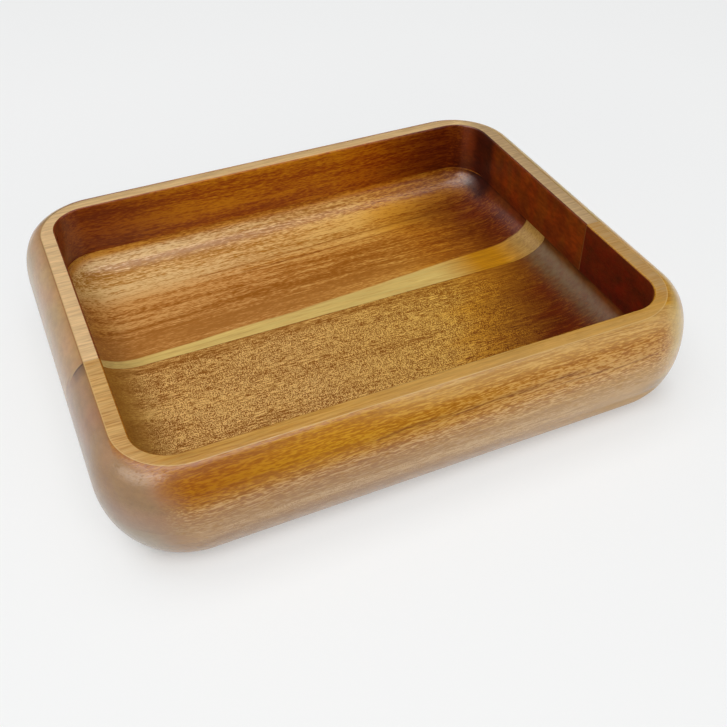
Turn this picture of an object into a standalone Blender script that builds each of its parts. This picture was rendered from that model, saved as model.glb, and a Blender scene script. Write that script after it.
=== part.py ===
"""A low rectangular dish of solid wood, glued up from four boards and shaped as one form.

Lengths are in metres. X runs along the dish and the wood's grain, Y from front to back, and Z up.
The origin is the middle of the flat base. Two layers of two boards each are glued face to face.
Every board starts as a rough plank and is cut by the same outer form and hollow, so the surfaces
run on over the glue lines.
"""
import math

import bmesh
import bpy
from mathutils import Vector
from mathutils.geometry import interpolate_bezier

# Overall size
DISH_LENGTH = 0.254
DISH_WIDTH = 0.203
DISH_HEIGHT = 0.050

# Rim: a flat band round the opening
RIM_WIDTH = 0.0062
RIM_EDGE_ROUND = 0.0008
RIM_LIP_ANGLE = math.radians(9)

# Outer side: swells out below the rim and draws in to the flat base
SIDE_SWELL = 0.0103
SWELL_HEIGHT = 0.028
BASE_INSET = 0.0094
CORNER_EASE = 0.0033
RIM_HANDLE_SHARE = 0.70
WAIST_UPPER_HANDLE_SHARE = 0.52
WAIST_LOWER_HANDLE_SHARE = 0.575
BASE_HANDLE_SHARE = 0.575

# Hollow: upright walls above a cove that runs into a flat floor
WALL_CORNER_RADIUS = 0.0155
COVE_CORNER_EXTRA = 0.0030
COVE_WIDTH = 0.0195
FLOOR_CORNER_RADIUS = 0.012
FLOOR_THICKNESS = 0.015

# Boards: the lower layer's thickness, and how wide each front board is at the dish's widest place
LOWER_LAYER_THICKNESS = 0.025
UPPER_FRONT_BOARD_WIDTH = 0.0772
LOWER_FRONT_BOARD_WIDTH = 0.1069

# Clearances: the glue line between boards, and what planks and cutters have to spare
GLUE_LINE = 0.0003
SHAPING_ALLOWANCE = 0.004

# Steps of the curves
CORNER_STEPS = 14
UPPER_SIDE_STEPS = 10
LOWER_SIDE_STEPS = 12
COVE_STEPS = 10
RIM_ROUND_STEPS = 3
CREASE_ANGLE = math.radians(24)

# Places worked out from the sizes above
OPENING_LENGTH = DISH_LENGTH - 2 * (SIDE_SWELL + RIM_WIDTH)
OPENING_WIDTH = DISH_WIDTH - 2 * (SIDE_SWELL + RIM_WIDTH)
RIM_CORNER_RADIUS = WALL_CORNER_RADIUS + RIM_WIDTH + CORNER_EASE
COVE_CORNER_RADIUS = WALL_CORNER_RADIUS + COVE_CORNER_EXTRA
FRONT_Y = -DISH_WIDTH / 2
UPPER_JOINT_Y = FRONT_Y + UPPER_FRONT_BOARD_WIDTH
LOWER_JOINT_Y = FRONT_Y + LOWER_FRONT_BOARD_WIDTH


def clear_scene():
    """Takes away whatever the scene starts with."""
    for thing in list(bpy.data.objects):
        bpy.data.objects.remove(thing, do_unlink=True)


def new_collection(name):
    """A collection in the scene."""
    collection = bpy.data.collections.new(name)
    bpy.context.scene.collection.children.link(collection)
    return collection


def wood(name, colour, roughness):
    """A satin oiled wood of one board's colour."""
    material = bpy.data.materials.new(name)
    material.use_nodes = True
    shader = material.node_tree.nodes["Principled BSDF"]
    shader.inputs["Base Color"].default_value = (*colour, 1.0)
    shader.inputs["Roughness"].default_value = roughness
    shader.inputs["Metallic"].default_value = 0.0
    material.diffuse_color = (*colour, 1.0)
    return material


def rounded_outline(length, width, radius, height):
    """Points of a rounded rectangle at one height, anticlockwise from the right end."""
    points = []
    for quarter, (side_x, side_y) in enumerate(((1, 1), (-1, 1), (-1, -1), (1, -1))):
        centre_x = side_x * (length / 2 - radius)
        centre_y = side_y * (width / 2 - radius)
        for step in range(CORNER_STEPS + 1):
            angle = math.pi / 2 * (quarter + step / CORNER_STEPS)
            x = centre_x + radius * math.cos(angle)
            y = centre_y + radius * math.sin(angle)
            points.append(Vector((x, y, height)))
    return points


def loft(name, sections, collection):
    """A closed solid through a stack of rounded outlines, lowest first."""
    mesh_builder = bmesh.new()
    loops = []
    for section in sections:
        corners = [mesh_builder.verts.new(point) for point in rounded_outline(*section)]
        following = corners[1:] + corners[:1]
        loops.append([mesh_builder.edges.new(pair) for pair in zip(corners, following)])
    for below, above in zip(loops, loops[1:]):
        bmesh.ops.bridge_loops(mesh_builder, edges=below + above)
    for end in (loops[0], loops[-1]):
        bmesh.ops.contextual_create(mesh_builder, geom=end)
    bmesh.ops.recalc_face_normals(mesh_builder, faces=mesh_builder.faces)
    mesh = bpy.data.meshes.new(name)
    mesh_builder.to_mesh(mesh)
    mesh_builder.free()
    solid = bpy.data.objects.new(name, mesh)
    solid.display_type = "WIRE"
    solid.hide_render = True
    collection.objects.link(solid)
    return solid


def side_profile():
    """Steps of the outer side from base to rim: how far out from the rim's edge, and how high."""
    base = Vector((-BASE_INSET, 0, 0))
    widest = Vector((SIDE_SWELL, SWELL_HEIGHT, 0))
    rim = Vector((0, DISH_HEIGHT, 0))
    base_reach = BASE_HANDLE_SHARE * (SIDE_SWELL + BASE_INSET)
    below_reach = WAIST_LOWER_HANDLE_SHARE * SWELL_HEIGHT
    above_reach = WAIST_UPPER_HANDLE_SHARE * (DISH_HEIGHT - SWELL_HEIGHT)
    rim_reach = RIM_HANDLE_SHARE * SIDE_SWELL
    lower = interpolate_bezier(
        base,
        base + Vector((base_reach, 0, 0)),
        widest - Vector((0, below_reach, 0)),
        widest,
        LOWER_SIDE_STEPS + 1,
    )
    upper = interpolate_bezier(
        widest,
        widest + Vector((0, above_reach, 0)),
        rim + Vector((rim_reach, -rim_reach * math.tan(RIM_LIP_ANGLE), 0)),
        rim,
        UPPER_SIDE_STEPS + 1,
    )
    return [(point.x, point.y) for point in lower + upper[1:]]


def make_outer_form(collection):
    """The pillow shape that all four boards are cut to, with the hollow not yet cut."""
    rim_length = OPENING_LENGTH + 2 * RIM_WIDTH
    rim_width = OPENING_WIDTH + 2 * RIM_WIDTH
    sections = []
    for out, height in side_profile():
        length = rim_length + 2 * out
        width = rim_width + 2 * out
        sections.append((length, width, RIM_CORNER_RADIUS + out, height))
    return loft("outer_form", sections, collection)


def make_wall_cutter(collection):
    """The upright part of the hollow, opening out over the rounded inner edge of the rim."""
    bottom = LOWER_LAYER_THICKNESS - SHAPING_ALLOWANCE
    sections = [(OPENING_LENGTH, OPENING_WIDTH, WALL_CORNER_RADIUS, bottom)]
    for step in range(RIM_ROUND_STEPS + 1):
        angle = math.pi / 2 * step / RIM_ROUND_STEPS
        out = RIM_EDGE_ROUND * (1 - math.cos(angle))
        height = DISH_HEIGHT - RIM_EDGE_ROUND * (1 - math.sin(angle))
        length = OPENING_LENGTH + 2 * out
        width = OPENING_WIDTH + 2 * out
        sections.append((length, width, WALL_CORNER_RADIUS + out, height))
    length, width, radius, height = sections[-1]
    sections.append((length, width, radius, height + SHAPING_ALLOWANCE))
    return loft("wall_cutter", sections, collection)


def make_cove_cutter(collection):
    """The lower part of the hollow: flat floor, and a cove that ends upright at the layers' joint."""
    cove_height = LOWER_LAYER_THICKNESS - GLUE_LINE / 2 - FLOOR_THICKNESS
    sections = []
    for step in range(COVE_STEPS + 1):
        angle = math.pi / 2 * step / COVE_STEPS
        reach_share = math.sin(angle)
        inward = COVE_WIDTH * (1 - reach_share)
        radius = FLOOR_CORNER_RADIUS + reach_share * (COVE_CORNER_RADIUS - FLOOR_CORNER_RADIUS)
        height = FLOOR_THICKNESS + cove_height * (1 - math.cos(angle))
        length = OPENING_LENGTH - 2 * inward
        width = OPENING_WIDTH - 2 * inward
        sections.append((length, width, radius, height))
    length, width, radius, height = sections[-1]
    sections.append((length, width, radius, height + SHAPING_ALLOWANCE))
    return loft("cove_cutter", sections, collection)


def make_plank(name, y_span, z_span, frame, collection):
    """A rough plank between two glue faces, with its origin in its middle."""
    length = DISH_LENGTH + 2 * SHAPING_ALLOWANCE
    width = y_span[1] - y_span[0]
    thickness = z_span[1] - z_span[0]
    mesh_builder = bmesh.new()
    bmesh.ops.create_cube(mesh_builder, size=1)
    bmesh.ops.scale(mesh_builder, vec=(length, width, thickness), verts=mesh_builder.verts)
    mesh = bpy.data.meshes.new(name)
    mesh_builder.to_mesh(mesh)
    mesh_builder.free()
    plank = bpy.data.objects.new(name, mesh)
    plank.location = (0, sum(y_span) / 2, sum(z_span) / 2)
    plank.parent = frame
    collection.objects.link(plank)
    return plank


def cut(board, operation, tool):
    """One Boolean cut of a board by a form."""
    modifier = board.modifiers.new(operation.lower() + "_" + tool.name, "BOOLEAN")
    modifier.operation = operation
    modifier.object = tool
    modifier.solver = "EXACT"


def settle(board, material):
    """Turns the cuts into the board's own mesh, smooth between its crisp edges."""
    depsgraph = bpy.context.evaluated_depsgraph_get()
    rough = board.data
    shaped = bpy.data.meshes.new_from_object(board.evaluated_get(depsgraph))
    board.modifiers.clear()
    board.data = shaped
    bpy.data.meshes.remove(rough)
    shaped.name = board.name
    shaped.materials.clear()
    shaped.materials.append(material)
    shaped.shade_smooth()
    shaped.set_sharp_from_angle(angle=CREASE_ANGLE)


def make_board(name, y_span, z_span, hollow, outer_form, frame, collection, material):
    """One board of the glued block: its plank, cut to the outer form and by its layer's hollow."""
    board = make_plank(name, y_span, z_span, frame, collection)
    cut(board, "INTERSECT", outer_form)
    cut(board, "DIFFERENCE", hollow)
    settle(board, material)
    return board


def make_upper_layer(outer_form, wall_cutter, frame, collection):
    """The ring of the upper layer: two wide U shapes, glued across both end walls."""
    bottom = LOWER_LAYER_THICKNESS + GLUE_LINE / 2
    z_span = (bottom, DISH_HEIGHT + SHAPING_ALLOWANCE)
    front_span = (FRONT_Y - SHAPING_ALLOWANCE, UPPER_JOINT_Y - GLUE_LINE / 2)
    back_span = (UPPER_JOINT_Y + GLUE_LINE / 2, DISH_WIDTH / 2 + SHAPING_ALLOWANCE)
    tan = wood("upper_front_wood", (0.47, 0.25, 0.085), 0.38)
    brown = wood("upper_back_wood", (0.36, 0.17, 0.05), 0.38)
    parts = (outer_form, frame, collection)
    for name, y_span, material in (("upper_front_board", front_span, tan),
                                   ("upper_back_board", back_span, brown)):
        make_board(name, y_span, z_span, wall_cutter, *parts, material)


def make_lower_layer(outer_form, cove_cutter, frame, collection):
    """The slab of the lower layer: two boards with the cove and floor cut across them."""
    z_span = (-SHAPING_ALLOWANCE, LOWER_LAYER_THICKNESS - GLUE_LINE / 2)
    front_span = (FRONT_Y - SHAPING_ALLOWANCE, LOWER_JOINT_Y - GLUE_LINE / 2)
    back_span = (LOWER_JOINT_Y + GLUE_LINE / 2, DISH_WIDTH / 2 + SHAPING_ALLOWANCE)
    golden = wood("lower_front_wood", (0.42, 0.22, 0.07), 0.42)
    reddish = wood("lower_back_wood", (0.38, 0.16, 0.055), 0.42)
    parts = (outer_form, frame, collection)
    for name, y_span, material in (("lower_front_board", front_span, golden),
                                   ("lower_back_board", back_span, reddish)):
        make_board(name, y_span, z_span, cove_cutter, *parts, material)


def build_dish():
    """The whole dish, its boards parented to one empty at the middle of the base."""
    clear_scene()
    parts = new_collection("wooden_dish")
    cutters = new_collection("cutters")
    frame = bpy.data.objects.new("wooden_dish_origin", None)
    frame.empty_display_size = DISH_HEIGHT
    parts.objects.link(frame)
    outer_form = make_outer_form(cutters)
    wall_cutter = make_wall_cutter(cutters)
    cove_cutter = make_cove_cutter(cutters)
    make_upper_layer(outer_form, wall_cutter, frame, parts)
    make_lower_layer(outer_form, cove_cutter, frame, parts)


build_dish()
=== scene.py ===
"""The looks of the wooden dish: four finely shaped boards of oiled wood on a pale floor."""
import math

import bmesh
import bpy
from mathutils import Matrix, Vector
from mathutils.geometry import interpolate_bezier


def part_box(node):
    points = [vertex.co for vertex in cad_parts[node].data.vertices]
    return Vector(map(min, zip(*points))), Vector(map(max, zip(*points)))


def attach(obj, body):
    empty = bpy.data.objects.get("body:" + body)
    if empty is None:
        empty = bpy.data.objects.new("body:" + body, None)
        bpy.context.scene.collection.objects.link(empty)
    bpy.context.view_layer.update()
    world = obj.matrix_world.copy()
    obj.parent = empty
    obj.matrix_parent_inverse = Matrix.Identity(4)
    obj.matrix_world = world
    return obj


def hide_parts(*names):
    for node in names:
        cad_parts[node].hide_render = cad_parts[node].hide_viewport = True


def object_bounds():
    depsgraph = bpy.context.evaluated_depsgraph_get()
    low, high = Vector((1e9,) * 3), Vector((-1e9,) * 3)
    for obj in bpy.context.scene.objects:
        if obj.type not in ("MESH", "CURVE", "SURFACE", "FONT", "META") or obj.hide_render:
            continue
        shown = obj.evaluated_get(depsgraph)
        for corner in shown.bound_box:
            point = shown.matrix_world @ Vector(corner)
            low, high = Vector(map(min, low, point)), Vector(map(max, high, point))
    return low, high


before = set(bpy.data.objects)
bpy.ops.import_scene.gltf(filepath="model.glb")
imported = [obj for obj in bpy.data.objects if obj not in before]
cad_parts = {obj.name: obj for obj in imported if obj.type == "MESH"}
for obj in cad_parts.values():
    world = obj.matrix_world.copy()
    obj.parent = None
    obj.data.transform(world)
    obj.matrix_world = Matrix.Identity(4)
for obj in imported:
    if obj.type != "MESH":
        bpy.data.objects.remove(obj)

CAD_BOX = [list(corner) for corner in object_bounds()]

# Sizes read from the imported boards
LOW, HIGH = (Vector(corner) for corner in CAD_BOX)
DISH_LENGTH = HIGH.x - LOW.x
DISH_WIDTH = HIGH.y - LOW.y
DISH_HEIGHT = HIGH.z - LOW.z
SEAM_HEIGHT = (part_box("lower_front_board")[1].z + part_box("upper_front_board")[0].z) / 2
UPPER_JOINT_Y = (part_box("upper_front_board")[1].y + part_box("upper_back_board")[0].y) / 2
LOWER_JOINT_Y = (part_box("lower_front_board")[1].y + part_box("lower_back_board")[0].y) / 2

# The section's own sizes, in metres, as the boards were cut
RIM_WIDTH = 0.0062
RIM_EDGE_ROUND = 0.0008
RIM_LIP_ANGLE = math.radians(9)
SIDE_SWELL = 0.0103
SWELL_HEIGHT = 0.028
BASE_INSET = 0.0094
CORNER_EASE = 0.0033
RIM_HANDLE_SHARE = 0.70
WAIST_UPPER_HANDLE_SHARE = 0.52
WAIST_LOWER_HANDLE_SHARE = 0.575
BASE_HANDLE_SHARE = 0.575
WALL_CORNER_RADIUS = 0.0155
COVE_CORNER_EXTRA = 0.0030
COVE_WIDTH = 0.0195
FLOOR_CORNER_RADIUS = 0.012
FLOOR_THICKNESS = 0.015
HAIRLINE = 0.00003

OPENING_LENGTH = DISH_LENGTH - 2 * (SIDE_SWELL + RIM_WIDTH)
OPENING_WIDTH = DISH_WIDTH - 2 * (SIDE_SWELL + RIM_WIDTH)
RIM_CORNER_RADIUS = WALL_CORNER_RADIUS + RIM_WIDTH + CORNER_EASE
COVE_CORNER_RADIUS = WALL_CORNER_RADIUS + COVE_CORNER_EXTRA

# Fineness of the surfaces, and the extra rings on the base, the floor and the wall
CORNER_STEPS = 28
LONG_STEPS = 30
SHORT_STEPS = 22
SIDE_STEPS = 30
COVE_STEPS = 26
ROUND_STEPS = 4
CREASE_ANGLE = math.radians(40)
BASE_RING_INSETS = (0.008, 0.002)
FLOOR_RING_INSETS = (0.002, 0.020)
WALL_RING_SHARES = (0.15, 0.5, 1)


def outline(length, width, radius, height):
    """A rounded rectangle of evenly spaced points, anticlockwise from the right end."""
    points = []
    for quarter, (side_x, side_y) in enumerate(((1, 1), (-1, 1), (-1, -1), (1, -1))):
        centre = Vector((side_x * (length / 2 - radius), side_y * (width / 2 - radius), height))
        for step in range(CORNER_STEPS + 1):
            angle = math.pi / 2 * (quarter + step / CORNER_STEPS)
            points.append(centre + radius * Vector((math.cos(angle), math.sin(angle), 0)))
        along_length = quarter % 2 == 0
        steps = LONG_STEPS if along_length else SHORT_STEPS
        run = (length if along_length else width) - 2 * radius
        direction = Vector((-side_x, 0, 0)) if along_length else Vector((0, -side_y, 0))
        start = points[-1]
        for step in range(1, steps):
            points.append(start + direction * run * step / steps)
    return points


def side_profile():
    """The outer side from base to rim: how far out from the rim's edge, and how high."""
    base = Vector((-BASE_INSET, 0, 0))
    widest = Vector((SIDE_SWELL, SWELL_HEIGHT, 0))
    rim = Vector((0, DISH_HEIGHT, 0))
    rim_reach = RIM_HANDLE_SHARE * SIDE_SWELL
    rim_handle = rim + Vector((rim_reach, -rim_reach * math.tan(RIM_LIP_ANGLE), 0))
    above = Vector((0, WAIST_UPPER_HANDLE_SHARE * (DISH_HEIGHT - SWELL_HEIGHT), 0))
    below = Vector((0, WAIST_LOWER_HANDLE_SHARE * SWELL_HEIGHT, 0))
    base_handle = base + Vector((BASE_HANDLE_SHARE * (SIDE_SWELL + BASE_INSET), 0, 0))
    lower = interpolate_bezier(base, base_handle, widest - below, widest, SIDE_STEPS + 1)
    upper = interpolate_bezier(widest, widest + above, rim_handle, rim, SIDE_STEPS + 1)
    return [(point.x, point.y) for point in lower + upper[1:]]


def outer_section(out, height):
    """The outer form's outline, a distance out from the rim's edge."""
    return outline(
        OPENING_LENGTH + 2 * (RIM_WIDTH + out),
        OPENING_WIDTH + 2 * (RIM_WIDTH + out),
        RIM_CORNER_RADIUS + out,
        height,
    )


def hollow_section(inward, radius, height):
    """The hollow's outline, a distance in from the upright walls."""
    return outline(OPENING_LENGTH - 2 * inward, OPENING_WIDTH - 2 * inward, radius, height)


def split_profile():
    """The side profile below and above the seam, each with a point on the seam."""
    points = side_profile()
    below = [point for point in points if point[1] < SEAM_HEIGHT]
    above = [point for point in points if point[1] > SEAM_HEIGHT]
    (out_low, low), (out_high, high) = below[-1], above[0]
    share = (SEAM_HEIGHT - low) / (high - low)
    at_seam = (out_low + share * (out_high - out_low), SEAM_HEIGHT)
    return below + [at_seam], [at_seam] + above


def skin(sections, closed):
    """Quads between one outline and the next; a closed stack joins its last outline to its first."""
    builder = bmesh.new()
    loops = [[builder.verts.new(point) for point in section] for section in sections]
    pairs = list(zip(loops, loops[1:]))
    if closed:
        pairs.append((loops[-1], loops[0]))
    for lower, upper in pairs:
        for index in range(len(lower)):
            following = (index + 1) % len(lower)
            builder.faces.new((lower[index], lower[following], upper[following], upper[index]))
    if not closed:
        builder.faces.new(loops[0])
        builder.faces.new(loops[-1])
    bmesh.ops.recalc_face_normals(builder, faces=builder.faces)
    return builder


def upper_ring():
    """The upper layer before it is split: outer side, rim with eased edges, and upright wall."""
    sections = [outer_section(out, height) for out, height in split_profile()[1]]
    for step in range(ROUND_STEPS + 1):
        angle = math.pi / 2 * step / ROUND_STEPS
        drop = RIM_EDGE_ROUND * (1 - math.cos(angle))
        inward = -RIM_EDGE_ROUND * (1 - math.sin(angle))
        radius = WALL_CORNER_RADIUS - inward
        sections.append(hollow_section(inward, radius, DISH_HEIGHT - drop))
    for share in WALL_RING_SHARES:
        height = DISH_HEIGHT - RIM_EDGE_ROUND
        height -= share * (height - SEAM_HEIGHT)
        sections.append(hollow_section(0, WALL_CORNER_RADIUS, height))
    return skin(sections, closed=True)


def lower_slab():
    """The lower layer before it is split: base, outer side, seam face, cove and floor."""
    below = split_profile()[0]
    base_out = below[0][0]
    sections = [outer_section(base_out - inset, 0) for inset in BASE_RING_INSETS]
    sections += [outer_section(out, height) for out, height in below]
    for step in range(COVE_STEPS + 1):
        angle = math.pi / 2 * (1 - step / COVE_STEPS)
        reach = math.sin(angle)
        radius = FLOOR_CORNER_RADIUS + reach * (COVE_CORNER_RADIUS - FLOOR_CORNER_RADIUS)
        height = FLOOR_THICKNESS + (SEAM_HEIGHT - FLOOR_THICKNESS) * (1 - math.cos(angle))
        sections.append(hollow_section(COVE_WIDTH * (1 - reach), radius, height))
    for inset in FLOOR_RING_INSETS:
        sections.append(hollow_section(COVE_WIDTH + inset, FLOOR_CORNER_RADIUS, FLOOR_THICKNESS))
    return skin(sections, closed=False)


def split_board(layer, name, joint_y, keep_front, material, node):
    """Cuts a layer at its glue joint, keeps one side, and closes the cut."""
    builder = layer.copy()
    side = -1 if keep_front else 1
    geometry = builder.verts[:] + builder.edges[:] + builder.faces[:]
    bmesh.ops.bisect_plane(
        builder,
        geom=geometry,
        plane_co=(0, joint_y + side * HAIRLINE / 2, 0),
        plane_no=(0, side, 0),
        clear_inner=True,
    )
    open_edges = [edge for edge in builder.edges if edge.is_boundary]
    bmesh.ops.holes_fill(builder, edges=open_edges, sides=0)
    bmesh.ops.recalc_face_normals(builder, faces=builder.faces)
    mesh = bpy.data.meshes.new(name)
    builder.to_mesh(mesh)
    builder.free()
    mesh.shade_smooth()
    mesh.set_sharp_from_angle(angle=CREASE_ANGLE)
    mesh.materials.append(material)
    piece = bpy.data.objects.new(name, mesh)
    bpy.context.scene.collection.objects.link(piece)
    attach(piece, "root")
    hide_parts(node)
    return piece


def paint(red, green, blue):
    """A linear colour with full cover."""
    return (red, green, blue, 1.0)


class Graph:
    """Short calls for the nodes of one material or world."""

    def __init__(self, owner):
        owner.use_nodes = True
        self.nodes = owner.node_tree.nodes
        self.links = owner.node_tree.links

    def feed(self, socket, value):
        """Links a node's output to a socket, or sets the socket to a plain value."""
        if isinstance(value, bpy.types.NodeSocket):
            self.links.new(value, socket)
        else:
            socket.default_value = value

    def node(self, kind, inputs, **settings):
        """A new node with its settings made and its inputs fed."""
        made = self.nodes.new(kind)
        for name, value in settings.items():
            setattr(made, name, value)
        for name, value in inputs.items():
            self.feed(made.inputs[name], value)
        return made

    def math(self, operation, first, second=0.0):
        """One operation on two numbers."""
        return self.node("ShaderNodeMath", {0: first, 1: second}, operation=operation).outputs[0]

    def size(self, value):
        """A number without its sign."""
        return self.math("ABSOLUTE", value)

    def less(self, first, second):
        """The first number less the second."""
        return self.math("SUBTRACT", first, second)

    def most(self, first, second):
        """The greater of two numbers."""
        return self.math("MAXIMUM", first, second)

    def product(self, *factors):
        """All the factors multiplied."""
        made = factors[0]
        for factor in factors[1:]:
            made = self.math("MULTIPLY", made, factor)
        return made

    def total(self, *parts):
        """All the parts added up."""
        made = parts[0]
        for part in parts[1:]:
            made = self.math("ADD", made, part)
        return made

    def vector(self, operation, first, second):
        """One operation on two vectors."""
        inputs = {0: first, 1: second}
        return self.node("ShaderNodeVectorMath", inputs, operation=operation).outputs[0]

    def span(self, value, low, high, to_low=0.0, to_high=1.0):
        """A smooth change from to_low to to_high while the value goes from low to high."""
        inputs = {"Value": value, "From Min": low, "From Max": high, "To Min": to_low, "To Max": to_high}
        return self.node("ShaderNodeMapRange", inputs, interpolation_type="SMOOTHSTEP").outputs[0]

    def ramp(self, value, low, high, to_low=0.0, to_high=1.0):
        """An even change, held at its ends."""
        inputs = {"Value": value, "From Min": low, "From Max": high, "To Min": to_low, "To Max": to_high}
        return self.node("ShaderNodeMapRange", inputs).outputs[0]

    def band(self, value, low, high, soft):
        """One between two places, zero beyond them."""
        rise = self.span(value, low - soft, low + soft)
        fall = self.span(value, high - soft, high + soft, 1.0, 0.0)
        return self.product(rise, fall)

    def noise(self, place, grains, detail=2.0, roughness=0.5, colour=False):
        """Noise with so many grains a metre along each axis."""
        inputs = {
            "Vector": self.vector("MULTIPLY", place, grains),
            "Scale": 1.0,
            "Detail": detail,
            "Roughness": roughness,
        }
        return self.node("ShaderNodeTexNoise", inputs).outputs["Color" if colour else "Fac"]

    def swing(self, noise, amount):
        """A noise about one half turned into a change about zero."""
        return self.product(self.less(noise, 0.5), amount)

    def scale(self, colour, amount):
        """A colour made lighter or darker by a factor."""
        inputs = {0: colour[:3] if isinstance(colour, tuple) else colour, "Scale": amount}
        return self.node("ShaderNodeVectorMath", inputs, operation="SCALE").outputs[0]

    def mix(self, share, first, second, blend="MIX"):
        """The second colour laid over the first by a share."""
        made = self.node("ShaderNodeMix", {}, data_type="RGBA", blend_type=blend)
        self.feed(made.inputs[0], share)
        self.feed(made.inputs[6], first)
        self.feed(made.inputs[7], second)
        return made.outputs[2]

    def tint(self, share, colour, by):
        """A colour multiplied by another one by a share."""
        return self.mix(share, colour, by, "MULTIPLY")


# One look for each board. Colours are linear: the palest wood, the middle, and the darkest figure.
# The drift gives each board its own noise. Contrast, fibre, dash and streak say how far each noise
# swings the tone, a band is so many metres wide, the wave bends the grain by so many metres, and
# fineness narrows the fibres. Pores show by two shares, at the left and at the right. The painted shade
# at the right end has its start and full place along the dish and its greatest share, its share at the
# back, and its slant.
LOOKS = {
    "upper_front_board": dict(
        pale=paint(0.56, 0.30, 0.085),
        middle=paint(0.42, 0.175, 0.018),
        dark=paint(0.28, 0.090, 0.001),
        rim=paint(0.55, 0.290, 0.062),
        rim_left=paint(0.60, 0.350, 0.118),
        rim_line_share=0.50,
        outer_end=paint(0.275, 0.140, 0.056),
        inner_end=paint(0.105, 0.004, 0.0002),
        drift=(0.31, 0.17, 0.53),
        band=0.0042,
        wave=0.0004,
        fineness=1.45,
        contrast=1.1,
        fibre=1.4,
        dash=2.3,
        streak=0.8,
        pore_shares=(0.45, 0.85),
        shaded_right=(0.04, 0.09, 0.0),
        shaded_right_back_share=1.0,
        shaded_right_slant=0.0,
    ),
    "upper_back_board": dict(
        pale=paint(0.52, 0.190, 0.002),
        middle=paint(0.38, 0.103, 0.0),
        dark=paint(0.25, 0.042, 0.0),
        rim=paint(0.72, 0.475, 0.215),
        rim_left=paint(0.76, 0.500, 0.240),
        rim_line_share=0.20,
        outer_end=paint(0.40, 0.230, 0.080),
        inner_end=paint(0.19, 0.031, 0.0010),
        drift=(0.73, 0.41, 0.19),
        band=0.0055,
        wave=0.0008,
        fineness=1.1,
        contrast=1.3,
        fibre=1.1,
        dash=1.3,
        streak=0.8,
        pore_shares=(0.40, 0.40),
        shaded_right=(0.03, 0.10, 0.9),
        shaded_right_back_share=1.0,
        shaded_right_slant=0.0,
    ),
    "lower_front_board": dict(
        pale=paint(0.77, 0.455, 0.135),
        middle=paint(0.470, 0.218, 0.043),
        dark=paint(0.235, 0.070, 0.003),
        outer_end=paint(0.31, 0.17, 0.070),
        inner_end=paint(0.13, 0.034, 0.004),
        drift=(0.12, 0.67, 0.38),
        band=0.0045,
        wave=0.0006,
        fineness=1.35,
        contrast=1.2,
        fibre=1.0,
        dash=1.0,
        streak=0.3,
        pore_shares=(0.25, 0.25),
        shaded_right=(0.034, 0.100, 0.98),
        shaded_right_back_share=1.0,
        shaded_right_slant=0.45,
    ),
    "lower_back_board": dict(
        pale=paint(0.64, 0.320, 0.090),
        middle=paint(0.465, 0.183, 0.034),
        dark=paint(0.30, 0.092, 0.004),
        outer_end=paint(0.38, 0.21, 0.080),
        inner_end=paint(0.11, 0.020, 0.002),
        drift=(0.57, 0.29, 0.83),
        band=0.0070,
        wave=0.0008,
        fineness=1.2,
        contrast=1.7,
        fibre=1.0,
        dash=1.5,
        streak=1.3,
        pore_shares=(0.50, 0.50),
        shaded_right=(0.038, 0.105, 0.95),
        shaded_right_back_share=0.75,
        shaded_right_slant=0.0,
    ),
}

# From here on, a fade has the place where it starts, the place where it ends, and its value at each,
# from zero to one where none is given. A stretch has two ends and how softly they give out. Places are
# metres from the middle of the dish, or above its base: a name that ends in along runs from the left
# end to the right, one in back from front to back, and one in up from the base to the rim. A slope is
# one part of the surface's direction. Grains are noise grains a metre along the board, across it and up.
DRY_END_BY_SLOPE = (0.45, 0.95)
DRY_END_ALONG = (0.0, 0.08, 0.3, 0.95)
PORES_ALONG = (-0.06, 0.04)


class Wood(Graph):
    """The nodes of one board's wood, and the values that its parts have in common."""

    def __init__(self, board):
        self.material = bpy.data.materials.new(board.replace("board", "wood"))
        super().__init__(self.material)
        self.board = board
        self.look = LOOKS[board]
        coordinates = self.node("ShaderNodeTexCoord", {}).outputs
        spot = coordinates["Object"]
        self.own = self.vector("ADD", spot, self.look["drift"])
        self.x, self.y, self.z = self.node("ShaderNodeSeparateXYZ", {0: spot}).outputs
        facing = self.node("ShaderNodeSeparateXYZ", {0: coordinates["Normal"]}).outputs
        self.facing_x = facing["X"]
        self.facing_z = facing["Z"]
        self.outward_x = self.product(facing["X"], self.math("SIGN", self.x))
        self.outward_y = self.product(facing["Y"], self.math("SIGN", self.y))
        self.inward_x = self.product(self.outward_x, -1.0)
        self.tone, self.bands, self.fibres, self.pores = figure(self)
        self.deep = self.product(self.pores, self.ramp(self.x, *PORES_ALONG, *self.look["pore_shares"]))
        by_slope = self.span(self.inward_x, *DRY_END_BY_SLOPE)
        self.dry = self.product(by_slope, self.span(self.x, *DRY_END_ALONG))


WANDER_GRAINS = (5, 12, 12)
WANDER_REACH = 0.012
WAVE_GRAINS = (170, 60, 60)
BAND_GRAINS_ALONG = 6
BAND_DETAIL = 3.0
BAND_ROUGHNESS = 0.55
FIBRE_GRAINS_ALONG = 70
FIBRE_GRAINS_ACROSS = 950
DASH_GRAINS_ALONG = 380
DASH_GRAINS_ACROSS = 1500
STREAK_GRAINS = (9, 420, 420)
STREAK_DETAIL = 3.0
STREAK_ROUGHNESS = 0.6
PORE_GRAINS = (230, 1900, 1900)
PORE_FADE = (0.58, 0.68)


def nudge(wood, grains, reach):
    """A small push across the grain that changes from place to place."""
    noise = wood.noise(wood.own, grains, colour=True)
    return wood.vector("MULTIPLY", wood.vector("SUBTRACT", noise, (0.5, 0.5, 0.5)), (0, reach, reach))


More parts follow.
